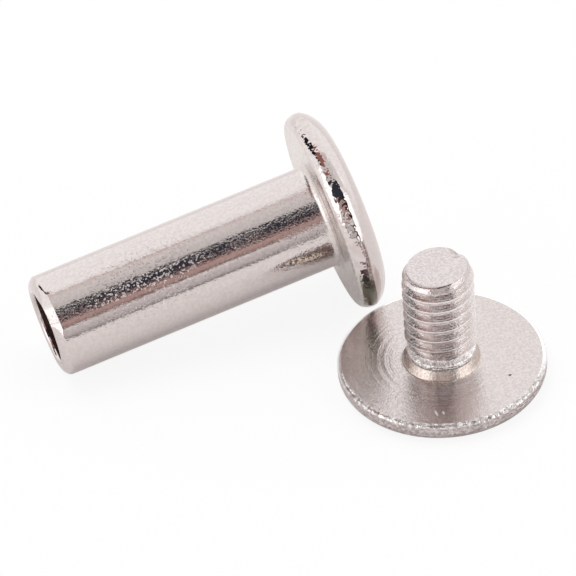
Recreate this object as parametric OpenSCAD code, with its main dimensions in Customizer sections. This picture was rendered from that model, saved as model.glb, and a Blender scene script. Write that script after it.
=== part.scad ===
// Two-piece screw rivet for leather, unscrewed and lying on a flat surface.
// The post rests on its side and the screw stands on its head. Lengths are in
// millimetres. The origin is the middle of the screw head's outer face, Z is up,
// and the post points along X as seen from above.

/* [Post tube] */
// Outside diameter of the tube
tube_d = 5; // [5:0.1:7]
// Length of the tube from its open end to the underside of the head
tube_len = 14.3; // [13:0.1:30]
// Rounding around the open end of the tube
tube_end_r = 0.6; // [0.2:0.02:0.6]
// Concave fillet where the tube runs into the head
tube_fillet_r = 0.3; // [0.1:0.05:0.8]

/* [Post head] */
// Diameter of the head
post_head_d = 9.9; // [8:0.1:14]
// Height of the head, from the underside to the top of the crown
post_head_h = 1.825; // [1.78:0.005:2.4]
// Rounding of the edge between the underside and the rim
post_edge_r = 0.4; // [0.05:0.01:0.45]
// Radius of the shoulder that turns from the rim to the crown
post_shoulder_r = 1.65; // [1.56:0.01:1.7]
// How far the centre of that radius lies in from the rim
post_shoulder_in = 1.45; // [1:0.01:1.55]

/* [Thread] */
// Outside diameter of the screw's thread
thread_d = 3.4; // [3.2:0.05:3.4]
// Pitch of the thread
thread_pitch = 0.6; // [0.5:0.05:0.7]
// Depth to which the two threads engage, on each side
thread_engage = 0.25; // [0.18:0.01:0.35]
// Gap around the thread at the plain mouth of the post
mouth_clearance = 0.05; // [0.02:0.01:0.05]
// Depth of the plain mouth
mouth_depth = 0.4; // [0.2:0.05:1]
// Rounding of the mouth's edge
mouth_edge_r = 0.15; // [0.05:0.01:0.15]
// Included angle of the cone from the mouth to the tapped bore
mouth_angle = 90; // [60:5:120]
// Depth of the tapped bore at its full diameter, from the open end
bore_depth = 11.5; // [7:0.1:12.5]
// Included angle of the drilled end of the bore
drill_angle = 118; // [90:1:140]

/* [Screw head] */
// Diameter of the head
screw_head_d = 9.9; // [8:0.1:14]
// Thickness of the head
screw_head_h = 1.05; // [0.9:0.05:2]
// Rounding of the edge on the inner face
screw_edge_r = 0.2; // [0.05:0.01:0.25]
// Rounding of the edge on the outer face
screw_round_r = 0.63; // [0.2:0.01:0.7]
// Width of the driver slot
slot_w = 1; // [0.6:0.05:1.6]
// Length of the driver slot, from one round end to the other
slot_len = 6; // [3:0.1:7.5]
// Depth of the driver slot
slot_depth = 0.45; // [0.2:0.05:0.6]
// Direction of the driver slot
slot_turn = 60; // [0:5:175]

/* [Screw shank] */
// Length of the shank from the inner face of the head to the tip
shank_len = 5.6; // [4:0.1:10]
// Diameter of the tapered collar where it stands on the head
collar_d = 3.8; // [3.5:0.05:4.5]
// Diameter of the collar at its top
collar_top_d = 3.1; // [3:0.05:3.4]
// Height of the collar
collar_h = 0.46; // [0.2:0.02:1]
// Clearance of the neck below the thread's root
neck_clearance = 0.05; // [0.02:0.01:0.2]
// Height of the neck between the collar and the thread
neck_h = 0.08; // [0.05:0.01:0.4]
// Diameter at which the thread begins above the neck
run_in_d = 3; // [2.9:0.05:3.3]
// Height over which the thread grows to its full diameter
run_in_h = 0.6; // [0.1:0.02:1]
// Height of the bevel at the tip
tip_h = 0.6; // [0.2:0.05:1]

/* [Layout] */
// Gap from the rim of the post's head to the screw's head, where they come closest
heads_gap = 0.16; // [0.1:0.02:2]
// Direction of that closest place, seen from the screw's axis
post_bearing = 108.5; // [98:0.5:130]

/* [Hidden] */
$fn = 96;

nickel = [0.82, 0.80, 0.79];
satin_nickel = [0.78, 0.74, 0.73];
over = 1;

tube_r = tube_d / 2;
post_r = post_head_d / 2;
screw_r = screw_head_d / 2;

// the screw's root, the post's bore and the bevelled tip share one diameter
root_d = thread_d - 2 * thread_engage;
neck_d = root_d - 2 * neck_clearance;
mouth_d = thread_d + 2 * mouth_clearance;
mouth_end = mouth_depth + (mouth_d - root_d) / 2 / tan(mouth_angle / 2);
drill_point = root_d / 2 / tan(drill_angle / 2);

// the screw's thread is a row of rings, with grooves as deep as the neck
neck_top = collar_h + neck_h;
groove_depth = (thread_d - neck_d) / 2;
groove_first = neck_top + run_in_h + 3 / 8 * thread_pitch;
groove_last = shank_len - tip_h / 2;

// the shoulder leaves the rim at a crease and runs tangent into the crown
shoulder_x = post_r - post_shoulder_in;
post_rim_h = sqrt(pow(post_shoulder_r, 2) - pow(post_shoulder_in, 2));
crown_step = post_head_h - post_shoulder_r;
crown_r = post_shoulder_r + (pow(shoulder_x, 2) / crown_step + crown_step) / 2;
crown_z = post_head_h - crown_r;
meet_r = crown_r * shoulder_x / (crown_r - post_shoulder_r);

// the post lies on the rounding of its open end and on the rounded edge of its head
rest_run = tube_len + post_edge_r - tube_end_r;
rest_drop = post_r - post_edge_r - tube_r + tube_end_r;
post_tilt = atan2(rest_drop, rest_run) + asin((post_edge_r - tube_end_r) / norm([rest_run, rest_drop]));
post_lift = tube_end_r + (tube_r - tube_end_r) * cos(post_tilt) - tube_end_r * sin(post_tilt);

// the place on the rim that is level with the inner face of the screw's head
rim_at = tube_len + post_rim_h;
rim_down = (post_lift + rim_at * sin(post_tilt) - screw_head_h) / cos(post_tilt);
rim_half = sqrt(post_r * post_r - rim_down * rim_down);
reach = screw_r + heads_gap;
post_x = reach * cos(post_bearing) - rim_at * cos(post_tilt) - rim_down * sin(post_tilt);
post_y = reach * sin(post_bearing) + rim_half;

// What a rounding of radius r takes off the corner at the origin of the first quadrant
module round_off(r) {
    difference() {
        square(r);
        translate([r, r]) circle(r);
    }
}

// Half section of the post's head, standing on its underside
module post_head_section() {
    intersection() {
        square([meet_r, post_head_h]);
        translate([0, crown_z]) circle(crown_r, $fn = 400);
    }
    difference() {
        intersection() {
            translate([meet_r, 0]) square([post_r - meet_r, post_head_h]);
            translate([shoulder_x, 0]) circle(post_shoulder_r);
        }
        translate([post_r, 0]) mirror([1, 0]) round_off(post_edge_r);
    }
}

// Half section of the whole post, from its open end up
module post_section() {
    difference() {
        square([tube_r, tube_len]);
        translate([tube_r, 0]) mirror([1, 0]) round_off(tube_end_r);
    }
    translate([tube_r, tube_len]) mirror([0, 1]) round_off(tube_fillet_r);
    translate([0, tube_len]) post_head_section();
}

// Half section of the tapped bore, with its plain, round-edged mouth and its drilled end
module bore_section() {
    polygon([
        [0, -over],
        [mouth_d / 2, -over],
        [mouth_d / 2, mouth_depth],
        [root_d / 2, mouth_end],
        [root_d / 2, bore_depth],
        [0, bore_depth + drill_point]
    ]);
    translate([mouth_d / 2, 0]) round_off(mouth_edge_r);
}

// Half section of the screw's head, standing on its outer face
module screw_head_section() {
    difference() {
        square([screw_r, screw_head_h]);
        translate([screw_r, 0]) mirror([1, 0]) round_off(screw_round_r);
        translate([screw_r, screw_head_h]) mirror([1, 0]) mirror([0, 1]) round_off(screw_edge_r);
    }
}

// Half section of the shank: collar, neck, ringed thread and bevelled tip
module shank_section() {
    difference() {
        polygon([
            [0, 0],
            [collar_d / 2, 0],
            [collar_top_d / 2, collar_h],
            [neck_d / 2, collar_h],
            [neck_d / 2, neck_top],
            [run_in_d / 2, neck_top],
            [thread_d / 2, neck_top + run_in_h],
            [thread_d / 2, shank_len - tip_h],
            [root_d / 2, shank_len],
            [0, shank_len]
        ]);
        for (z = [groove_first : thread_pitch : groove_last]) translate([neck_d / 2, z]) thread_groove();
    }
}

// Section of one groove between two rings of the thread, from its bottom outwards
module thread_groove() {
    beyond = 1.2;
    side = (1 / 8 + beyond / 4) * thread_pitch;
    polygon([
        [0, -thread_pitch / 8],
        [beyond * groove_depth, -side],
        [beyond * groove_depth, side],
        [0, thread_pitch / 8]
    ]);
}

// Straight slot with round ends for a flat driver, in the outer face
module driver_slot() {
    half = (slot_len - slot_w) / 2;
    rotate([0, 0, slot_turn]) translate([0, 0, -over]) linear_extrude(slot_depth + over) {
        square([2 * half, slot_w], center = true);
        for (side = [-1, 1]) translate([side * half, 0]) circle(d = slot_w);
    }
}

module post() {
    color(nickel)
    translate([post_x, post_y, post_lift]) rotate([0, 90 - post_tilt, 0])
    difference() {
        rotate_extrude() post_section();
        rotate_extrude() bore_section();
    }
}

module screw() {
    color(satin_nickel)
    difference() {
        rotate_extrude() {
            screw_head_section();
            translate([0, screw_head_h]) shank_section();
        }
        driver_slot();
    }
}

post();
screw();
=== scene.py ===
from math import asin, atan2, cos, degrees, exp, hypot, pi, radians, sin, sqrt, tan

import bmesh
import bpy
from mathutils import Matrix, Vector


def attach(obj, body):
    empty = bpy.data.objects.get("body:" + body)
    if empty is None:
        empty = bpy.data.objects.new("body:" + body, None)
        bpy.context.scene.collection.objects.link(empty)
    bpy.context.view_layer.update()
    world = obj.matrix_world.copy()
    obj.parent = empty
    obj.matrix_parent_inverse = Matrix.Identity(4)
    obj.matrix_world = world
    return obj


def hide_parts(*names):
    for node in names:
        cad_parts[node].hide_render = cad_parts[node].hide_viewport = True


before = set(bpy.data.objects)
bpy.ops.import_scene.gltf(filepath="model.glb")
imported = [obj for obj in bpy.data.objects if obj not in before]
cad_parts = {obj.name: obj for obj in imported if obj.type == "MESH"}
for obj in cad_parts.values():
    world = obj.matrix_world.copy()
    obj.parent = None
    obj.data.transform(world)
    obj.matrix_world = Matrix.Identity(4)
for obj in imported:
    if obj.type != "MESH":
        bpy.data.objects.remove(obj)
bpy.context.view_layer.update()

mm = 0.001  # sizes below are in millimetres
scene = bpy.context.scene
scene.view_settings.view_transform = "Standard"


def linear(hexColour, level=1.0):  # sRGB hex to the linear colour that nodes take
    parts = [int(hexColour[i:i + 2], 16) / 255 for i in (1, 3, 5)]
    return [level * (c / 12.92 if c <= 0.04045 else ((c + 0.055) / 1.055) ** 2.4) for c in parts] + [1.0]


def addNode(tree, kind, inputs=None, **settings):  # a node with its settings, values and links
    node = tree.nodes.new(kind)
    for key, value in settings.items():
        setattr(node, key, value)
    for key, value in (inputs or {}).items():
        if isinstance(value, bpy.types.NodeSocket):
            tree.links.new(value, node.inputs[key])
        else:
            node.inputs[key].default_value = value
    return node


def addMath(tree, operation, *values):  # one math node
    return addNode(tree, "ShaderNodeMath", dict(enumerate(values)), operation=operation).outputs[0]


def addVector(tree, operation, first, second):  # one vector math node; a scale takes a number
    inputs = {0: first, ("Scale" if operation == "SCALE" else 1): second}
    return addNode(tree, "ShaderNodeVectorMath", inputs, operation=operation).outputs[0]


def combine(tree, *parts):  # a vector from its parts
    return addNode(tree, "ShaderNodeCombineXYZ", dict(enumerate(parts))).outputs[0]


def separate(tree, vector):  # the parts of a vector
    return addNode(tree, "ShaderNodeSeparateXYZ", {0: vector}).outputs


def ramp(tree, value, start, end, low, high):  # straight from low to high
    return addNode(tree, "ShaderNodeMapRange", {0: value, 1: start, 2: end, 3: low, 4: high}).outputs[0]


def fade(tree, value, start, end, low=0.0, high=1.0):  # smooth step from low to high
    return addNode(tree, "ShaderNodeMapRange", {0: value, 1: start, 2: end, 3: low, 4: high},
                   interpolation_type="SMOOTHSTEP").outputs[0]


def mixColour(tree, share, first, second):
    return addNode(tree, "ShaderNodeMix", {0: share, 6: first, 7: second}, data_type="RGBA").outputs[2]


def perMm(size):  # texture scale that gives a pattern of this size in millimetres
    return 1 / (size * mm)


def arc(centre, radius, start, end, steps):  # points of a section, radius and height in mm
    angles = [radians(start + (end - start) * i / steps) for i in range(steps + 1)]
    return [(centre[0] + radius * cos(angle), centre[1] + radius * sin(angle)) for angle in angles]


def line(first, last, steps):  # points between two places of a section, without the first
    return [(first[0] + (last[0] - first[0]) * i / steps, first[1] + (last[1] - first[1]) * i / steps)
            for i in range(1, steps + 1)]


def clamp(share):
    return min(max(share, 0.0), 1.0)


def smooth(share):  # smooth step from 0 to 1
    return share * share * (3 - 2 * share)


def towards(x, y, angle):  # distance from a piece's axis to one side, in degrees from its -Y to its -X
    return -x * sin(radians(angle)) - y * cos(radians(angle))


# thread as a rule in Geometry Nodes, outside on the screw and inside the post, lengths in mm
threadInputs = {"Length": 4.6, "Pitch": 0.6, "Root Radius": 1.43, "Crest Radius": 1.7,
                "Foot Radius": 1.7, "Foot Height": 0.3, "Fill Height": 0.4, "Tip Radius": 1.4,
                "Tip Height": 0.6, "Crest Share": 0.15, "Root Share": 0.28, "Roughness": 0.03}
threadGrid = {"Around": 256, "Rows per Turn": 24}
threadRules = {"noiseScale": 3.2, "noiseDetail": 2.0, "endFade": 8.0, "mergeWithin": 0.002}


def threadTree():
    tree = bpy.data.node_groups.new("helicalThread", "GeometryNodeTree")
    sockets = tree.interface
    for name, value in threadInputs.items():
        sockets.new_socket(name, in_out="INPUT", socket_type="NodeSocketFloat").default_value = value
    for name, value in threadGrid.items():
        sockets.new_socket(name, in_out="INPUT", socket_type="NodeSocketInt").default_value = value
    sockets.new_socket("Finish", in_out="INPUT", socket_type="NodeSocketMaterial")
    sockets.new_socket("Mesh", in_out="OUTPUT", socket_type="NodeSocketGeometry")
    given = addNode(tree, "NodeGroupInput").outputs
    length, pitch = given["Length"], given["Pitch"]
    root, crest, foot = given["Root Radius"], given["Crest Radius"], given["Foot Radius"]

    def calc(operation, *values):
        return addMath(tree, operation, *values)

    rowStep = calc("DIVIDE", pitch, given["Rows per Turn"])
    rows = calc("CEIL", calc("DIVIDE", calc("ADD", length, pitch), rowStep))
    columns = calc("ADD", given["Around"], 1.0)
    grid = addNode(tree, "GeometryNodeMeshGrid", {
        "Size X": 1.0, "Size Y": 1.0, "Vertices X": columns, "Vertices Y": calc("ADD", rows, 1.0)})
    spot = separate(tree, addNode(tree, "GeometryNodeInputPosition").outputs[0])
    turn = calc("ADD", spot[0], 0.5)  # share of one turn
    row = calc("ROUND", calc("MULTIPLY", calc("ADD", spot[1], 0.5), rows))
    flat = calc("SUBTRACT", calc("MULTIPLY", row, rowStep), pitch)
    # rows climb one pitch per turn, so crests and roots follow the mesh
    climbed = calc("MULTIPLY_ADD", pitch, turn, flat)
    height = calc("MINIMUM", calc("MAXIMUM", climbed, 0.0), length)
    left = calc("SUBTRACT", length, height)
    wave = calc("PINGPONG", calc("DIVIDE", flat, pitch), 0.5)
    rootEnd = calc("MULTIPLY", given["Root Share"], 0.5)
    crestStart = calc("SUBTRACT", 0.5, calc("MULTIPLY", given["Crest Share"], 0.5))
    flank = ramp(tree, wave, rootEnd, crestStart, 0.0, 1.0)
    radius = calc("MULTIPLY_ADD", calc("SUBTRACT", crest, root), flank, root)
    outer = calc("MAXIMUM", crest, root)
    inner = calc("MINIMUM", crest, root)
    # the groove runs out at the foot, and cones end the thread at both ends
    radius = calc("MAXIMUM", radius, ramp(tree, height, 0.0, given["Fill Height"], foot, inner))
    radius = calc("MINIMUM", radius, ramp(tree, height, 0.0, given["Foot Height"], foot, outer))
    tipCone = ramp(tree, left, 0.0, given["Tip Height"], given["Tip Radius"], outer)
    radius = calc("MINIMUM", radius, tipCone)
    angle = calc("MULTIPLY", turn, 2 * pi)
    around = combine(tree, calc("COSINE", angle), calc("SINE", angle))
    place = addVector(tree, "SCALE", around, radius)
    place = addVector(tree, "ADD", place, combine(tree, 0.0, 0.0, height))
    # uneven rolling, faded out at both ends so that the rings there stay true
    inputs = {"Vector": place, "Scale": threadRules["noiseScale"], "Detail": threadRules["noiseDetail"]}
    noise = addNode(tree, "ShaderNodeTexNoise", inputs).outputs[0]
    ends = calc("MULTIPLY", calc("MINIMUM", height, left), threadRules["endFade"])
    wobble = calc("MULTIPLY", calc("SUBTRACT", noise, 0.5), given["Roughness"])
    wobble = calc("MULTIPLY", wobble, calc("MINIMUM", ends, 1.0))
    place = addVector(tree, "ADD", place, addVector(tree, "SCALE", around, wobble))
    inputs = {"Geometry": grid.outputs[0], "Position": place}
    moved = addNode(tree, "GeometryNodeSetPosition", inputs).outputs[0]
    inputs = {0: moved, "Distance": threadRules["mergeWithin"]}
    merged = addNode(tree, "GeometryNodeMergeByDistance", inputs).outputs[0]
    real = addNode(tree, "GeometryNodeRealizeInstances", {0: merged}).outputs[0]
    inputs = {"Geometry": real, "Material": given["Finish"]}
    finished = addNode(tree, "GeometryNodeSetMaterial", inputs).outputs[0]
    addNode(tree, "NodeGroupOutput", {0: finished})
    return tree


helicalThread = threadTree()


def cutThread(finish, sizes):  # a bmesh of one threaded wall, in mm, standing on z = 0
    holder = bpy.data.objects.new("threadHolder", bpy.data.meshes.new("threadHolder"))
    scene.collection.objects.link(holder)
    modifier = holder.modifiers.new("thread", "NODES")
    modifier.node_group = helicalThread
    values = {**threadInputs, **threadGrid, **sizes, "Finish": finish}
    for item in helicalThread.interface.items_tree:
        if item.in_out == "INPUT":
            modifier[item.identifier] = values[item.name]
    bpy.context.view_layer.update()
    evaluated = holder.evaluated_get(bpy.context.evaluated_depsgraph_get())
    plain = bpy.data.meshes.new_from_object(evaluated)
    holder.modifiers.remove(modifier)
    wall = bmesh.new()
    wall.from_mesh(plain)
    bpy.data.objects.remove(holder)
    bpy.data.meshes.remove(plain)
    return wall


# distances in mm at which points are one, and the angle in degrees above which a crease stays hard
meshRules = {"mergeWithin": 0.0015, "degenerate": 1e-5, "onAxis": 1e-6, "sharpAngle": 22}


def turnOnLathe(bm, section, finish):  # sweeps a section of radius and height round the Z axis
    count = threadGrid["Around"]  # as many as the thread has, so that both join
    angles = [2 * pi * i / count for i in range(count)]
    rings = []
    for radius, height in section:
        if radius < meshRules["onAxis"]:
            rings.append([bm.verts.new((0, 0, height))])
        else:
            ring = [(radius * cos(angle), radius * sin(angle), height) for angle in angles]
            rings.append([bm.verts.new(point) for point in ring])
    for low, high in zip(rings, rings[1:]):
        for i in range(count):
            j = i + 1
            corners = [low[i % len(low)], low[j % len(low)], high[j % len(high)], high[i % len(high)]]
            bm.faces.new(list(dict.fromkeys(corners))).material_index = finish
    return rings


def addMesh(bm, other, lift, finish):  # joins another bmesh, lifted along Z
    lookup = {vert: bm.verts.new((vert.co.x, vert.co.y, lift + vert.co.z)) for vert in other.verts}
    for face in other.faces:
        bm.faces.new([lookup[vert] for vert in face.verts]).material_index = finish
    other.free()


def finishPiece(bm, name, materials, wornAt, wear, place=Matrix()):  # one closed, worn mesh, in metres
    bmesh.ops.remove_doubles(bm, verts=bm.verts, dist=meshRules["mergeWithin"])
    bmesh.ops.dissolve_degenerate(bm, edges=bm.edges, dist=meshRules["degenerate"])
    bmesh.ops.recalc_face_normals(bm, faces=bm.faces)
    for vert in bm.verts:
        vert.co = wear(vert.co)
    loose = sum(not edge.is_manifold for edge in bm.edges)
    mesh = bpy.data.meshes.new(name)
    bm.to_mesh(mesh)
    bm.free()
    # radius and height on the lathe stay with each point, in mm, and how far it faces the worn side
    lathe = mesh.attributes.new("lathe", "FLOAT_VECTOR", "POINT")
    for point, spot in zip(lathe.data, mesh.vertices):
        x, y, z = spot.co
        radius = hypot(x, y)
        point.vector = (radius, z, towards(x, y, wornAt) / max(radius, meshRules["onAxis"]))
    mesh.transform(place @ Matrix.Scale(mm, 4))
    for material in materials:
        mesh.materials.append(material)
    for polygon in mesh.polygons:
        polygon.use_smooth = True
    mesh.set_sharp_from_angle(angle=radians(meshRules["sharpAngle"]))
    piece = bpy.data.objects.new(name, mesh)
    scene.collection.objects.link(piece)
    print(name, "faces", len(mesh.polygons), "open edges", loose)
    return piece


# how the patterns of all finishes are drawn: the shares of a noise that count, and how far marks fade
finishRules = {"noiseRoughness": 0.55, "noiseDetail": 2.0, "waveDetail": 1.0, "grooveTurn": 0.25,
               "noiseFrom": 0.3, "noiseTo": 0.7, "tintSize": 1.4, "glossLow": 0.7, "glossHigh": 1.3,
               "pitReach": 0.3, "patchFrom": 0.38, "patchTo": 0.62, "speckFrom": 0.58, "speckTo": 0.7,
               "speckNear": 1.2, "speckOut": 3.6, "markOut": 1.2, "markIn": 0.6, "breakSoft": 0.05}


# pits, scratches, painted shade and painted reflections, with the middle and half size of each in the
# shared frame
def drawMarks(tree, look, spot, grain, colour, gloss):
    rules = finishRules
    for mark in look.get("marks", []):
        away = addVector(tree, "SUBTRACT", spot, [part * mm for part in mark["at"]])
        away = addVector(tree, "MULTIPLY", away, [perMm(half) for half in mark["half"]])
        away = addNode(tree, "ShaderNodeVectorMath", {0: away}, operation="LENGTH").outputs["Value"]
        share = fade(tree, away, rules["markOut"], rules["markIn"])
        if "broken" in mark:  # with gaps where the grain is low
            start, end = mark["broken"] - rules["breakSoft"], mark["broken"] + rules["breakSoft"]
            share = addMath(tree, "MULTIPLY", share, fade(tree, grain, start, end))
        colour = mixColour(tree, share, colour, linear(mark["tone"]))
        gloss = addMath(tree, "MAXIMUM", gloss, addMath(tree, "MULTIPLY", share, mark["matt"]))
    return colour, gloss


# nickel with its own grain, waves, pits and tool marks, sizes and depths in mm. Real plating is finer:
# the grain is drawn coarser, so that a picture can show it
def platedMetal(name, look):
    material = bpy.data.materials.new(name)
    material.use_nodes = True
    tree = material.node_tree
    rules = finishRules
    shader = tree.nodes["Principled BSDF"]
    shader.inputs["Metallic"].default_value = 1.0
    if "turned" in look:  # circular grooves spread the reflections outwards from the middle
        shader.inputs["Anisotropic"].default_value = look["turned"]
        shader.inputs["Anisotropic Rotation"].default_value = rules["grooveTurn"]
        tangent = addNode(tree, "ShaderNodeTangent", direction_type="RADIAL", axis="Z").outputs[0]
        tree.links.new(tangent, shader.inputs["Tangent"])
    spot = addNode(tree, "ShaderNodeTexCoord").outputs["Object"]
    lathe = addNode(tree, "ShaderNodeAttribute", attribute_name="lathe").outputs["Vector"]
    radius, along, facing = separate(tree, lathe)

    def noise(size, detail=rules["noiseDetail"]):
        inputs = {"Vector": spot, "Scale": perMm(size), "Detail": detail}
        inputs["Roughness"] = rules["noiseRoughness"]
        return addNode(tree, "ShaderNodeTexNoise", inputs).outputs[0]

    layers = []  # heights from coarse to fine, each with its depth
    if "waves" in look:
        layers.append((noise(look["waves"], rules["waveDetail"]), look["waveDepth"]))
    if "toolMark" in look:
        inputs = {"W": radius, "Scale": 1 / look["toolMark"], "Detail": rules["noiseDetail"]}
        circles = addNode(tree, "ShaderNodeTexNoise", inputs, noise_dimensions="1D").outputs[0]
        layers.append((circles, look["toolDepth"]))
    if "pits" in look:
        inputs = {"Vector": spot, "Scale": perMm(look["pits"])}
        dots = addNode(tree, "ShaderNodeTexVoronoi", inputs).outputs["Distance"]
        layers.append((fade(tree, dots, 0.0, rules["pitReach"]), look["pitDepth"]))
    grain = noise(look["grain"], look.get("detail", rules["noiseDetail"]))
    height = addMath(tree, "SUBTRACT", grain, 0.5)
    if "patch" in look:  # coarser in patches
        patch = noise(look["patch"], rules["waveDetail"])
        patch = fade(tree, patch, rules["patchFrom"], rules["patchTo"], look["patchLow"], 1.0)
        height = addMath(tree, "MULTIPLY", height, patch)
    if "specks" in look:  # sharp specks around one place along the piece
        away = addMath(tree, "ABSOLUTE", addMath(tree, "SUBTRACT", along, look["specksAt"]))
        share = fade(tree, away, rules["speckNear"], rules["speckOut"],
                     look["speckShare"], look["speckFar"])
        specks = noise(look["specks"], rules["waveDetail"])
        specks = fade(tree, specks, rules["speckFrom"], rules["speckTo"])
        height = addMath(tree, "MULTIPLY_ADD", specks, share, height)
    if "wornFrom" in look:  # and smoother away from the worn side
        worn = fade(tree, facing, look["wornFrom"], look["wornTo"], look["smoothSide"], 1.0)
        if "roughFrom" in look:  # apart from one end of the piece
            rough = fade(tree, along, look["roughFrom"], look["roughTo"], 0.0, look["roughShare"])
            worn = addMath(tree, "MAXIMUM", worn, rough)
        height = addMath(tree, "MULTIPLY", height, worn)
    layers.append((height, look["grainDepth"]))
    normal = None
    for value, depth in layers:
        inputs = {"Height": value, "Strength": 1.0, "Distance": depth * mm}
        if normal:
            inputs["Normal"] = normal
        normal = addNode(tree, "ShaderNodeBump", inputs).outputs[0]
    tree.links.new(normal, shader.inputs["Normal"])
    start, end = rules["noiseFrom"], rules["noiseTo"]
    tint = fade(tree, noise(look["grain"] * rules["tintSize"]), start, end)
    if "wornGlintTint" in look:  # spotted with painted glints on the worn side alone
        tint = addMath(tree, "MULTIPLY", tint, addMath(tree, "MULTIPLY", worn, look["wornGlintTint"]))
    colour = mixColour(tree, tint, linear(look["colour"]), linear(look["shade"]))
    low, high = look["roughness"] * rules["glossLow"], look["roughness"] * rules["glossHigh"]
    gloss = fade(tree, grain, start, end, low, high)
    if "crestFrom" in look:  # painted pale and matt on the outermost edges: partly rubbing, partly a painted highlight along each crest
        crest = fade(tree, radius, look["crestFrom"], look["crestTo"])
        colour = mixColour(tree, crest, colour, linear(look["crest"]))
        gloss = addMath(tree, "MAXIMUM", gloss, addMath(tree, "MULTIPLY", crest, look["crestRoughness"]))
    colour, gloss = drawMarks(tree, look, spot, grain, colour, gloss)
    tree.links.new(colour, shader.inputs["Base Color"])
    tree.links.new(gloss, shader.inputs["Roughness"])
    return material


# bright nickel plating on the turned tube: a mirror with a pebbled skin, so reflections keep their bands
# but break into sparkles along the edges of a dark one. Its mark is a painted reflection: a broken tan
# sparkle near the head
brightNickel = platedMetal("brightNickelPlating", {
    "colour": "#dfd7d5", "shade": "#d6cdcb", "roughness": 0.03, "grain": 0.11, "grainDepth": 0.03,
    "patch": 2.2, "patchLow": 0.6, "specks": 0.12, "specksAt": 5.2, "speckShare": 1.0, "speckFar": 0.1,
    "wornFrom": 0.989, "wornTo": 0.9945, "smoothSide": 0.2, "roughFrom": 10.5, "roughTo": 12.5,
    "roughShare": 0.4, "waves": 2.4, "waveDepth": 0.006, "pits": 0.6, "pitDepth": 0.002,
    "marks": [{"at": (-4.6, 5.32, 4.54), "half": (1.25, 1.0, 0.2), "tone": "#fff1dc", "matt": 0.5,
               "broken": 0.48}]})
# tumbled nickel on the post's rim: a mirror with coarse dents, so a dark reflection breaks up. Its mark
# is painted shade: the bottom, where it hangs over the screw, is painted dark and a little duller
dentedNickel = platedMetal("dentedNickelRim", {
    "colour": "#dfd7d5", "shade": "#d3c9c7", "roughness": 0.04, "grain": 0.26, "grainDepth": 0.04,
    "detail": 1.0, "waves": 0.8, "waveDepth": 0.02,
    "marks": [{"at": (-2.35, 3.3, 3.0), "half": (1.5, 1.2, 1.75), "tone": "#8e9084", "matt": 0.12}]})
# polished nickel on the dome: smooth and pale
polishedNickel = platedMetal("polishedNickelDome", {
    "colour": "#ddd5d3", "shade": "#d7cecc", "roughness": 0.14, "grain": 0.12, "grainDepth": 0.006,
    "waves": 2.0, "waveDepth": 0.008, "pits": 0.9, "pitDepth": 0.003})
# satin nickel on the turned face: soft reflections, faint circular tool marks, fine sparkle, a dark pit
# and two white scratches
satinNickel = platedMetal("satinNickelTurnedFace", {
    "colour": "#ddd5d3", "shade": "#cdc4c2", "roughness": 0.15, "turned": 0.8, "grain": 0.08,
    "grainDepth": 0.014, "toolMark": 0.2, "toolDepth": 0.012,
    "marks": [{"at": (2.5, -2.457, 1.05), "half": (0.09, 0.06, 1.0), "tone": "#5a4f4c", "matt": 0.7},
              {"at": (-1.62, -3.66, 1.05), "half": (0.06, 0.22, 1.0), "tone": "#ffffff", "matt": 0.8},
              {"at": (-1.3, -3.77, 1.05), "half": (0.05, 0.15, 1.0), "tone": "#ffffff", "matt": 0.8}]})
# fine-turned nickel under the post's head: soft and pale
turnedNickel = platedMetal("turnedNickelShoulder", {
    "colour": "#e6dfdc", "shade": "#dbd3d0", "roughness": 0.22, "grain": 0.12, "grainDepth": 0.012,
    "toolMark": 0.2, "toolDepth": 0.014})
# fine-turned nickel on the screw's collar: soft, and painted darker and tan as painted shade
collarNickelShaded = platedMetal("turnedNickelCollarShaded", {
    "colour": "#dcd0c9", "shade": "#c9bbb2", "roughness": 0.22, "grain": 0.1, "grainDepth": 0.02,
    "toolMark": 0.1, "toolDepth": 0.006})
# sheared nickel on the screw's tip: pale, with soft clouds and a fine grain
shearedNickel = platedMetal("shearedNickelTip", {
    "colour": "#e0d8d8", "shade": "#cbc2c1", "roughness": 0.16, "grain": 0.09, "grainDepth": 0.014,
    "waves": 0.9, "waveDepth": 0.04})
# tumbled nickel on the screw's rim: a coarse, sparkling grain
tumbledNickel = platedMetal("tumbledNickelRim", {
    "colour": "#dfd7d5", "shade": "#b0a5a3", "roughness": 0.22, "grain": 0.12, "grainDepth": 0.1,
    "waves": 0.5, "waveDepth": 0.04})
# rolled nickel thread: glossy flanks, slightly uneven from the die, with crests painted pale: partly
# rubbing, partly a painted highlight
rolledNickel = platedMetal("rolledNickelThread", {
    "colour": "#e0d8d6", "shade": "#d2c8c6", "roughness": 0.1, "grain": 0.1, "grainDepth": 0.02,
    "toolMark": 0.06, "toolDepth": 0.008, "waves": 0.8, "waveDepth": 0.01, "crestFrom": 1.665,
    "crestTo": 1.7, "crest": "#f6f1ef", "crestRoughness": 0.3})
# torn nickel where the thread starts: rough, and painted white: partly fresh torn metal, partly a painted
# highlight on the bead
tornNickel = platedMetal("tornNickelRunIn", {
    "colour": "#ffffff", "shade": "#f0ecea", "roughness": 0.3, "grain": 0.15, "grainDepth": 0.1})
# nickel worn along the screw's inner edge: its bumps are wear, and its white and dark specks at the front
# are painted glints; plain behind
wornNickelGlints = platedMetal("wornNickelEdgeGlints", {
    "colour": "#ffffff", "shade": "#b4aaa7", "wornGlintTint": 1.0, "roughness": 0.13, "grain": 0.13,
    "grainDepth": 0.13, "patch": 1.1, "patchLow": 0.25, "wornFrom": 0.0, "wornTo": 0.5,
    "smoothSide": 0.02})
# dull metal in the bore, painted dark brown: painted shade of the deep hole
boreMetalShaded = platedMetal("boreMetalPaintedShade", {
    "colour": "#5c4a42", "shade": "#463a36", "roughness": 0.45, "grain": 0.12, "grainDepth": 0.02})
print("materials made")

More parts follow.
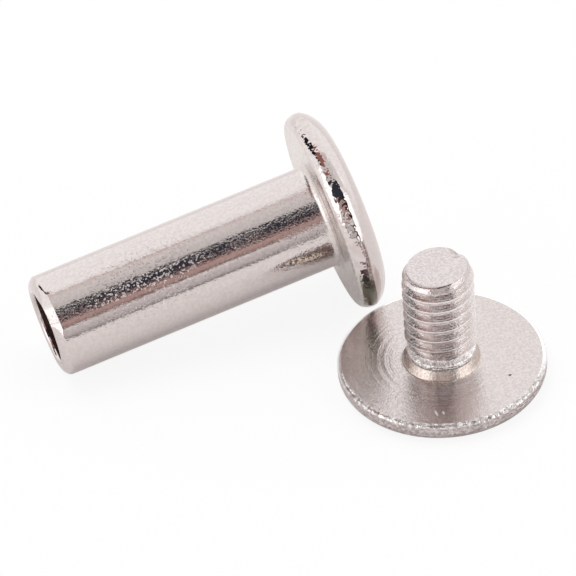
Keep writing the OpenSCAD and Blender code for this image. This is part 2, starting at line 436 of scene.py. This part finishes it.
# lengths in mm and angles in degrees
postShape = {
    "tubeRadius": 2.5, "tubeLength": 14.3, "endRounding": 0.55, "endCorner": 0.2, "endTurn": 26,
    "fillet": 0.4, "headRadius": 4.95, "headHeight": 1.825, "edgeRounding": 0.4, "rimFrom": -40,
    "rimTo": 12, "shoulder": 1.65, "shoulderIn": 1.45, "bore": 1.45, "boreDepth": 11.5, "drillAngle": 118,
    "mouthRadius": 1.75, "mouthRounding": 0.2, "mouthDepth": 0.4, "mouthCone": 0.3,
    "threadLength": 8.0, "threadEnd": 0.2, "threadRows": 12, "runOut": 0.3,
    # how it lies, with the end's rounding that the solid has
    "restRounding": 0.6, "headsGap": 0.16, "bearing": 108.5,
    # wear
    "wornAt": 47.5, "endAt": 42, "endSlope": 0.3, "endReach": 3.0,
    "lipAt": 54, "lipSpread": 0.84, "lipDepth": 0.42, "lipSlope": 54, "lipSlack": 0.01,
    # steps of each stretch of the section
    "steps": {"lip": 8, "flat": 2, "end": 14, "corner": 6, "tube": 40, "fillet": 10, "under": 10,
              "edge": 8, "rim": 14, "shoulder": 16, "crown": 12}}


def rimHeight():  # from the head's underside to the crease where the shoulder starts
    return sqrt(postShape["shoulder"] ** 2 - postShape["shoulderIn"] ** 2)


def restPose():  # tilt and place of the post, which lies on its end's rounding and on its head's edge
    shape = postShape
    radius, head = shape["tubeRadius"], shape["headRadius"]
    end, edge = shape["restRounding"], shape["edgeRounding"]
    run, drop = shape["tubeLength"] + edge - end, head - edge - radius + end
    tilt = atan2(drop, run) + asin((edge - end) / hypot(run, drop))
    lift = end + (radius - end) * cos(tilt) - end * sin(tilt)
    # the rim comes closest to the screw's head where it is level with the inner face
    rimAt = shape["tubeLength"] + rimHeight()
    rimDown = (lift + rimAt * sin(tilt) - screwShape["headHeight"]) / cos(tilt)
    rimHalf = sqrt(head ** 2 - rimDown ** 2)
    reach, bearing = screwShape["headRadius"] + shape["headsGap"], radians(shape["bearing"])
    x = reach * cos(bearing) - rimAt * cos(tilt) - rimDown * sin(tilt)
    return tilt, Vector((x, reach * sin(bearing) + rimHalf, lift))


# the open end is cut a little out of square, and its lip is worn steep on one side
def wearPost(spot, tilt, lift):
    shape = postShape
    x, y, z = spot
    tube, mouth, depth = shape["tubeRadius"], shape["mouthRadius"], shape["lipDepth"]
    lateral = towards(x, y, shape["endAt"]) / tube
    radius = hypot(x, y)
    grow = 1.0
    if z < depth and radius > mouth - shape["lipSlack"]:
        facing = towards(x, y, shape["lipAt"]) / radius
        side = clamp((facing - shape["lipSpread"]) / (1 - shape["lipSpread"]))
        lip, steep = mouth + shape["mouthRounding"], tan(radians(shape["lipSlope"]))
        shift = tube - (depth - z) / steep - radius
        if radius < lip - shape["lipSlack"]:  # the mouth's edge moves along
            shift = (tube - depth / steep - lip) * (1 - z / depth)
        grow += smooth(side) * shift / radius
    z += shape["endSlope"] * clamp(1 - z / shape["endReach"]) * ((lateral + 1) / 2) ** 2
    x = min(x * grow, (lift + z * sin(tilt)) / cos(tilt))  # rubbed flat where it lies on the floor
    return Vector((x, y * grow, z))


def makePost():
    shape, steps = postShape, postShape["steps"]
    radius, length, head = shape["tubeRadius"], shape["tubeLength"], shape["headRadius"]
    end, fillet, edge = shape["endRounding"], shape["fillet"], shape["edgeRounding"]
    mouth, lip, depth = shape["mouthRadius"], shape["mouthRounding"], shape["mouthDepth"]
    bore, crease = shape["bore"], rimHeight()
    finishes = [brightNickel, dentedNickel, polishedNickel, boreMetalShaded, turnedNickel]
    bright, dented, polished, shadedBore, turned = range(len(finishes))
    bm = bmesh.new()
    # mouth, and an end that turns quickly at the tube's edge, then slowly towards the mouth
    turnOnLathe(bm, [(mouth, depth), (mouth, lip)], shadedBore)
    small, turn = shape["endCorner"], radians(shape["endTurn"])
    large = (end - small * (1 - cos(turn))) / cos(turn)
    cornerAt = large * (1 - sin(turn)) + small * sin(turn)
    tube = arc((mouth + lip, lip), lip, 180, 270, steps["lip"])
    tube += line((mouth + lip, 0.0), (radius - end, 0.0), steps["flat"])
    tube += arc((radius - end, large), large, -90, -shape["endTurn"], steps["end"])[1:]
    tube += arc((radius - small, cornerAt), small, -shape["endTurn"], 0, steps["corner"])[1:]
    tube += line(tube[-1], (radius, length - fillet), steps["tube"])
    turnOnLathe(bm, tube, bright)
    # fillet, underside, and an edge whose rounding goes over into a barrelled rim
    low, high = sin(radians(shape["rimFrom"])), sin(radians(shape["rimTo"]))
    barrel = (crease - edge * (1 + low)) / (high - low)
    middle = (head - barrel, length + crease - barrel * high)
    corner = middle[0] + (barrel - edge) * cos(radians(shape["rimFrom"]))
    under = arc((radius + fillet, length - fillet), fillet, 180, 90, steps["fillet"])
    under += line((radius + fillet, length), (corner, length), steps["under"])
    under += arc((corner, length + edge), edge, -90, shape["rimFrom"], steps["edge"])[1:]
    turnOnLathe(bm, under, turned)
    rim = arc(middle, barrel, shape["rimFrom"], shape["rimTo"], steps["rim"])
    turnOnLathe(bm, rim, dented)
    # shoulder, which runs tangent into the crown
    turnIn, top = head - shape["shoulderIn"], length + shape["headHeight"]
    rise = shape["headHeight"] - shape["shoulder"]
    crown = shape["shoulder"] + (turnIn ** 2 / rise + rise) / 2
    start = degrees(atan2(crease, shape["shoulderIn"]))
    meet = degrees(atan2(crown + length - top, turnIn))
    dome = [rim[-1]] + arc((turnIn, length), shape["shoulder"], start, meet, steps["shoulder"])[1:]
    dome += arc((0.0, top - crown), crown, meet, 90, steps["crown"])[1:-1] + [(0.0, top)]
    turnOnLathe(bm, dome, polished)
    # tapped bore, as negative radii: the same rule then cuts outwards
    thread = cutThread(boreMetalShaded, {
        "Length": shape["threadLength"], "Root Radius": -bore,
        "Crest Radius": -threadInputs["Crest Radius"], "Foot Radius": -mouth,
        "Foot Height": shape["mouthCone"], "Tip Radius": -mouth, "Tip Height": shape["threadEnd"],
        "Rows per Turn": shape["threadRows"]})
    addMesh(bm, thread, depth, shadedBore)
    deep, drilled = depth + shape["threadLength"], shape["boreDepth"]
    point = drilled + bore / tan(radians(shape["drillAngle"] / 2))
    turnOnLathe(bm, [(mouth, deep), (bore, deep + shape["runOut"]), (bore, drilled), (0.0, point)], shadedBore)
    tilt, place = restPose()
    pose = Matrix.Translation(place * mm) @ Matrix.Rotation(pi / 2 - tilt, 4, "Y")

    def wear(spot):
        return wearPost(spot, tilt, place.z)

    return finishPiece(bm, "rivetPost", finishes, shape["wornAt"], wear, pose)


# lengths in mm and angles in degrees
screwShape = {
    "headRadius": 4.95, "headHeight": 1.05, "innerEdge": 0.2, "outerEdge": 0.63,
    "slotWidth": 1.0, "slotLength": 6.0, "slotDepth": 0.45, "slotTurn": 60, "slotEdge": 0.06,
    "shank": 5.6, "collar": 1.9, "collarHeight": 0.46, "collarFlare": 0.16, "flareFrom": 15,
    "collarSlope": 27, "neck": 1.4, "neckHeight": 0.08, "beadOut": 1.64, "beadIn": 1.4, "beadEdge": 0.08,
    "beadFrom": -85, "beadWall": 0.18, "beadSlope": 64, "threadFoot": 1.01, "threadRise": 0.2,
    "threadFill": 0.01, "tip": 1.44, "tipHeight": 0.6,
    # wear
    "wornAt": 16.26, "tipAt": -71.07, "tipSink": 0.07, "tipReach": 0.65,
    "chipAt": (1.17, 0.59), "chipSize": 0.3, "chipDepth": 0.2,
    "nickAt": (0.41, -4.955), "nickSize": 0.13, "nickDepth": 0.1,
    # steps of each stretch of the section
    "steps": {"outer": 14, "wall": 3, "inner": 8, "face": 30, "flare": 8, "collar": 4, "bead": 6,
              "fall": 3, "tip": 14, "slot": 24}}


def dent(spot, place, size):  # share of a round dent's depth
    near = hypot(spot.x - place[0], spot.y - place[1]) / size
    return exp(-near * near)


def wearScrew(spot):  # the cut tip slopes and is chipped, and the rim has a nick
    shape = screwShape
    x, y, z = spot
    top = shape["headHeight"] + shape["shank"]
    share = smooth(clamp((z - top) / shape["tipReach"] + 1))
    lateral = towards(x, y, shape["tipAt"]) / shape["tip"]
    chip = shape["chipDepth"] * dent(spot, shape["chipAt"], shape["chipSize"])
    sink = (shape["tipSink"] * (1 - lateral) + chip) * share
    if z > shape["headHeight"] / 2:
        sink += shape["nickDepth"] * dent(spot, shape["nickAt"], shape["nickSize"])
    return Vector((x, y, z - sink))


def slotOutline(grow, height):  # round-ended slot
    shape = screwShape
    half = (shape["slotLength"] - shape["slotWidth"]) / 2
    turn = Matrix.Rotation(radians(shape["slotTurn"]), 3, "Z")
    points = arc((half, 0.0), shape["slotWidth"] / 2 + grow, -90, 90, shape["steps"]["slot"])
    points += [(-x, -y) for x, y in points]
    return [turn @ Vector((x, y, height)) for x, y in points]


def loopEdges(bm, loop):  # edges of a closed loop, made where they aren't there yet
    return [bm.edges.get(pair) or bm.edges.new(pair) for pair in zip(loop, loop[1:] + loop[:1])]


def makeOuterFace(bm, ring, finish):  # flat from the rim's first ring in to the driver slot, and the slot
    bevel = screwShape["slotEdge"]
    depths = [(bevel, 0.0), (0.0, bevel), (0.0, screwShape["slotDepth"])]
    loops = [[bm.verts.new(point) for point in slotOutline(grow, depth)] for grow, depth in depths]
    for low, high in zip(loops, loops[1:]):
        for i in range(len(low)):
            j = (i + 1) % len(low)
            bm.faces.new((low[i], low[j], high[j], high[i])).material_index = finish
    bm.faces.new(loops[-1]).material_index = finish
    edges = loopEdges(bm, ring) + loopEdges(bm, loops[0])
    for made in bmesh.ops.triangle_fill(bm, edges=edges, use_beauty=True)["geom"]:
        if isinstance(made, bmesh.types.BMFace):
            made.material_index = finish


def makeScrew():
    shape, steps = screwShape, screwShape["steps"]
    head, top, tip = shape["headRadius"], shape["headHeight"], shape["headHeight"] + shape["shank"]
    outer, inner, bead = shape["outerEdge"], shape["innerEdge"], shape["beadEdge"]
    finishes = [satinNickel, tumbledNickel, rolledNickel, tornNickel, collarNickelShaded, wornNickelGlints,
                shearedNickel]
    satin, tumbled, rolled, torn, turned, worn, sheared = range(len(finishes))
    bm = bmesh.new()
    # rim, from the flat outer face up to the worn edge of the inner face
    rim = arc((head - outer, outer), outer, -90, 0, steps["outer"])
    rim += line(rim[-1], (head, top - inner), steps["wall"])
    rim += arc((head - inner, top - inner), inner, 0, 90, steps["inner"])[1:]
    rings = turnOnLathe(bm, rim[:1 - steps["inner"]], tumbled)
    turnOnLathe(bm, rim[-steps["inner"]:], worn)
    # inner face, and a collar that flares out at its foot
    face = [(head - inner, top)] + line((head - inner, top), (shape["collar"], top), steps["face"])
    turnOnLathe(bm, face, satin)
    flare, start = shape["collarFlare"], radians(shape["flareFrom"])
    middle = (shape["collar"] + flare * sin(start), top + flare * cos(start))
    collar = arc(middle, flare, -90 - shape["flareFrom"], shape["collarSlope"] - 180, steps["flare"])
    collarTop = top + shape["collarHeight"]
    taper = (collarTop - collar[-1][1]) * tan(radians(shape["collarSlope"]))
    collar += line(collar[-1], (collar[-1][0] - taper, collarTop), steps["collar"])
    turnOnLathe(bm, collar, turned)
    # neck and torn start of the thread
    neckTop, foot = collarTop + shape["neckHeight"], top + shape["threadFoot"]
    run = [collar[-1], (shape["neck"], collarTop), (shape["neck"], neckTop)]
    beadAt, slope = shape["beadOut"] - bead, shape["beadSlope"]
    run += arc((beadAt, neckTop + bead), bead, shape["beadFrom"], 0, steps["bead"])
    run += arc((beadAt, neckTop + shape["beadWall"]), bead, 0, slope, steps["bead"])
    fall = (run[-1][0] - shape["beadIn"]) / tan(radians(slope))
    run += line(run[-1], (shape["beadIn"], run[-1][1] + fall), steps["fall"])
    turnOnLathe(bm, run + [(shape["beadIn"], foot)], torn)
    # thread and cut tip
    thread = cutThread(rolledNickel, {
        "Length": tip - foot, "Foot Radius": shape["beadIn"], "Foot Height": shape["threadRise"],
        "Fill Height": shape["threadFill"], "Tip Radius": shape["tip"],
        "Tip Height": shape["tipHeight"]})
    addMesh(bm, thread, foot, rolled)
    turnOnLathe(bm, [(shape["tip"], tip)] + line((shape["tip"], tip), (0.0, tip), steps["tip"]), sheared)
    makeOuterFace(bm, rings[0], satin)
    return finishPiece(bm, "rivetScrew", finishes, shape["wornAt"], wearScrew)


rivetPost = makePost()
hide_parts("post")
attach(rivetPost, "root")
print("post made")

rivetScrew = makeScrew()
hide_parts("screw")
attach(rivetScrew, "root")
print("screw made")

# sizes and places in metres
studio = {"floorColour": "#f7f5f4", "floorSize": 4.0, "glowSeen": 0.88, "glowMirrored": 0.25,
          "mirrorLevel": 0.72, "keyPower": 0.95, "keySize": 0.35, "keyPlace": (-0.12, 0.1, 0.5)}


def makeFloor():
    mesh = bpy.data.meshes.new("floor")
    half = studio["floorSize"] / 2
    corners = [(-half, -half, 0), (half, -half, 0), (half, half, 0), (-half, half, 0)]
    mesh.from_pydata(corners, [], [(0, 1, 2, 3)])
    floor = bpy.data.objects.new("floor", mesh)
    scene.collection.objects.link(floor)
    # white paper: matt, white to the camera, and in the metal it shows the pieces' shadow
    material = bpy.data.materials.new("whitePaper")
    material.use_nodes = True
    tree = material.node_tree
    tree.nodes.clear()
    path = addNode(tree, "ShaderNodeLightPath").outputs
    mirrored = addMath(tree, "MAXIMUM", path["Is Glossy Ray"], path["Is Transmission Ray"])
    mirrored = addMath(tree, "MULTIPLY", mirrored, studio["glowMirrored"])
    seen = addMath(tree, "MULTIPLY", path["Is Camera Ray"], studio["glowSeen"])
    share = addMath(tree, "MAXIMUM", seen, mirrored)
    paper = addNode(tree, "ShaderNodeBsdfDiffuse", {"Color": linear(studio["floorColour"])}).outputs[0]
    level = ramp(tree, path["Is Camera Ray"], 0.0, 1.0, studio["mirrorLevel"], 1.0)
    glow = addNode(tree, "ShaderNodeEmission", {"Color": (1, 1, 1, 1), "Strength": level}).outputs[0]
    mix = addNode(tree, "ShaderNodeMixShader", {0: share, 1: paper, 2: glow}).outputs[0]
    addNode(tree, "ShaderNodeOutputMaterial", {0: mix})
    mesh.materials.append(material)


def makeKey():  # soft light from above for the paper; the metal mirrors the tent instead
    data = bpy.data.lights.new("keyLight", "AREA")
    data.energy = studio["keyPower"]
    data.shape = "DISK"
    data.size = studio["keySize"]
    key = bpy.data.objects.new("keyLight", data)
    place = Vector(studio["keyPlace"])
    key.matrix_world = Matrix.Translation(place) @ place.to_track_quat("Z", "Y").to_matrix().to_4x4()
    key.visible_glossy = False
    scene.collection.objects.link(key)


makeFloor()
makeKey()

# light tent with an opening towards the camera. Height round the post's long axis in degrees, from the
# near horizon (0) over the top (90) to the far horizon (180), with the tone and level mirrored there
tentBands = [(0, "#8d8988", 1.0), (3.5, "#c0bcbb", 1.0), (8, "#d0cbca", 1.0), (14, "#d9d3d3", 1.0),
             (20, "#efebe9", 1.0), (24.5, "#8c7b78", 1.0), (29, "#bfa29c", 1.0), (43, "#383b44", 1.0),
             (71.2, "#d8d5d3", 1.0), (79, "#dfdcda", 1.0), (88, "#e8e4e2", 1.0), (104, "#dac6c2", 1.0),
             (107.5, "#ffffff", 1.03), (115, "#ffffff", 1.12)]
# to the left and right of that opening: position along the axis from -1 to 1, tone and level
tentSides = [(-1.0, "#ffffff", 1.65), (-0.74, "#c9c6c5", 1.0), (0.3, "#ffffff", 1.6),
             (0.93, "#ffffff", 1.0)]
# ends of the opening along the axis, heights where the bands go on past them, and how soft edges are
tentOpening = {"left": -0.72, "right": 0.37, "farFrom": 106, "farTo": 112, "softEnds": 0.02,
               "softBands": 0.8, "softSides": 0.008, "softPatches": 0.15}
# a reddish and a black patch, a pale panel and the opening's dark edge: height and position of the
# middle, half sizes, tone
tentPatches = [(103, -0.39, 19, 0.22, "#a06b65"), (136, -0.59, 31, 0.13, "#242122"),
               (87, 0.62, 22, 0.33, "#efecea"), (25, 0.28, 45, 0.09, "#262324")]


def tentRamp(tree, value, low, high, bands, soft):  # steps of tone with slightly soft edges
    span = high - low
    share = addMath(tree, "MULTIPLY_ADD", value, 1 / span, -low / span)
    steps = addNode(tree, "ShaderNodeValToRGB", {0: share})
    elements = steps.color_ramp.elements
    while len(elements) > 1:
        elements.remove(elements[-1])
    elements[0].position = 0.0
    elements[0].color = linear(*bands[0][1:])
    for before, (start, tone, level) in zip(bands, bands[1:]):
        elements.new((start - soft - low) / span).color = linear(*before[1:])
        elements.new((start + soft - low) / span).color = linear(tone, level)
    return steps.outputs[0]


def makeWorld():
    world = bpy.data.worlds.new("lightTent")
    scene.world = world
    world.use_nodes = True
    tree = world.node_tree
    tree.nodes.clear()
    along, away, up = separate(tree, addNode(tree, "ShaderNodeTexCoord").outputs["Generated"])
    angle = addMath(tree, "ARCTAN2", up, addMath(tree, "MULTIPLY", away, -1.0))
    angle = addMath(tree, "MULTIPLY", angle, degrees(1))
    tone = tentRamp(tree, angle, 0, 180, tentBands, tentOpening["softBands"])
    sides = tentRamp(tree, along, -1, 1, tentSides, tentOpening["softSides"])
    left, right, soft = tentOpening["left"], tentOpening["right"], tentOpening["softEnds"]
    fromLeft = fade(tree, along, left - soft, left + soft)
    opening = addMath(tree, "MULTIPLY", fromLeft, fade(tree, along, right + soft, right - soft))
    far = fade(tree, angle, tentOpening["farFrom"], tentOpening["farTo"])
    tone = mixColour(tree, addMath(tree, "MAXIMUM", opening, far), sides, tone)
    soft = tentOpening["softPatches"]
    for height, place, halfHeight, halfWidth, colour in tentPatches:
        above = addMath(tree, "DIVIDE", addMath(tree, "SUBTRACT", angle, height), halfHeight)
        beside = addMath(tree, "DIVIDE", addMath(tree, "SUBTRACT", along, place), halfWidth)
        squares = addMath(tree, "MULTIPLY_ADD", above, above, addMath(tree, "MULTIPLY", beside, beside))
        tone = mixColour(tree, fade(tree, squares, 1 + soft, 1 - soft), tone, linear(colour))
    back = addNode(tree, "ShaderNodeBackground", {0: tone, 1: 1.0}).outputs[0]
    addNode(tree, "ShaderNodeOutputWorld", {0: back})


makeWorld()

# angles in degrees, distance and aim in mm, the camera's range in metres
viewpoint = {"azimuth": 16.0536, "elevation": 39.8597, "roll": 4.4899, "distance": 254.565,
             "aim": (-5.0592, 7.6446, 1.05), "lens": 331.524, "sensor": 36, "rangeFrom": 0.01,
             "rangeTo": 10}


def makeCamera():
    view = viewpoint
    turn, up, roll = radians(view["azimuth"]), radians(view["elevation"]), radians(view["roll"])
    ahead = Vector((sin(turn) * cos(up), cos(turn) * cos(up), -sin(up)))
    right = Vector((cos(turn), -sin(turn), 0))
    above = right.cross(ahead)
    right, above = right * cos(roll) - above * sin(roll), right * sin(roll) + above * cos(roll)
    data = bpy.data.cameras.new("camera")
    data.lens = view["lens"]
    data.sensor_width = view["sensor"]
    data.clip_start = view["rangeFrom"]
    data.clip_end = view["rangeTo"]
    camera = bpy.data.objects.new("camera", data)
    place = (Vector(view["aim"]) - ahead * view["distance"]) * mm
    axes = Matrix((right, above, -ahead)).transposed().to_4x4()
    camera.matrix_world = Matrix.Translation(place) @ axes
    scene.collection.objects.link(camera)
    scene.camera = camera


makeCamera()
print("studio made")
